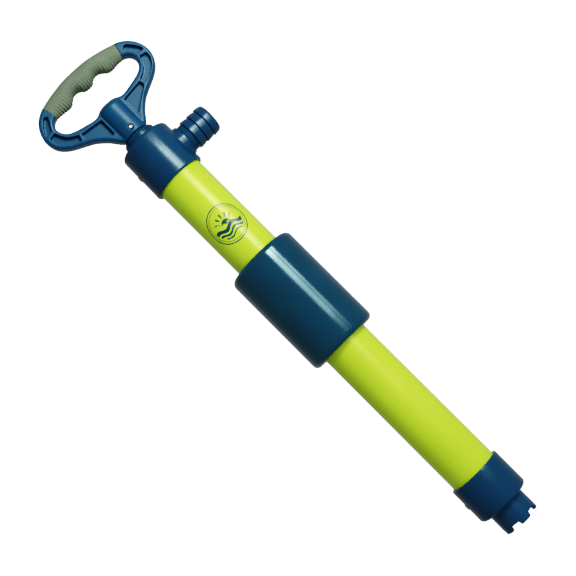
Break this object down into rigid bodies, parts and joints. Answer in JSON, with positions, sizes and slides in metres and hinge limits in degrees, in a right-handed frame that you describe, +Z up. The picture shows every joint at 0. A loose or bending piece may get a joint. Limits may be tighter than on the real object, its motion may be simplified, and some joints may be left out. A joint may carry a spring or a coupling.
{
  "type": "manual bilge pump",
  "caption": "Hand-held piston bilge pump: slim tube with a foam float, side hose spigot, notched intake nozzle and a D-handle on a sliding rod.",
  "frame": {"origin": "centre of the intake nozzle's rim, where the pump stands", "axes": "+Z up the pump's axis from the nozzle to the handle, +X along the outlet spigot, the handle's loop in the XZ plane"},
  "size_m": [0.1214, 0.066, 0.5416],
  "materials": {
    "lime_tube": "satin extruded tube",
    "navy_cap": "satin moulded",
    "blue_handle": "fine moulded texture",
    "float_skin": "glossy skin on closed-cell foam",
    "sage_grip": "matt over-moulding with fine finger ribs",
    "white_plastic": "smooth",
    "black_rubber": "matt",
    "stainless": "turned"
  },
  "bodies": {
    "pump_body": {"barrel": "lime_tube", "float_collar": "float_skin", "foot_cap": "navy_cap", "foot_screw": "stainless", "foot_valve_plate": "white_plastic", "foot_valve_stem": "stainless", "head_cap": "navy_cap", "head_screw": "stainless", "intake_nozzle": "navy_cap", "outlet_seal": "black_rubber", "outlet_spigot": "navy_cap", "rod_bush": "white_plastic", "rod_gland": "navy_cap", "rod_wiper": "black_rubber"},
    "foot_valve": {"foot_valve_disc": "black_rubber"},
    "sliding_seal": {"piston_seal": "black_rubber"},
    "rod_and_handle": {"pump_rod": "white_plastic", "valve_stop_ring": "stainless", "rod_bumper": "black_rubber", "piston_body": "white_plastic", "piston_washer": "stainless", "piston_screw": "stainless", "handle_frame": "blue_handle", "handle_grip": "sage_grip", "handle_pin": "stainless"},
    "piston_valve": {"piston_valve_disc": "black_rubber"}
  },
  "joints": [
    {"name": "piston_slide", "type": "slide", "parent": "pump_body", "child": "sliding_seal", "axis": [0, 0, 1], "range_m": [0, 0.37]},
    {"name": "rod_spin", "type": "hinge", "parent": "sliding_seal", "child": "rod_and_handle", "pos_m": [0, 0, 0.044], "axis": [0, 0, 1], "continuous": true},
    {"name": "foot_valve_lift", "type": "slide", "parent": "pump_body", "child": "foot_valve", "axis": [0, 0, 1], "range_m": [0, 0.003]},
    {"name": "piston_valve_lift", "type": "slide", "parent": "rod_and_handle", "child": "piston_valve", "axis": [0, 0, 1], "range_m": [0, 0.003]}
  ]
}
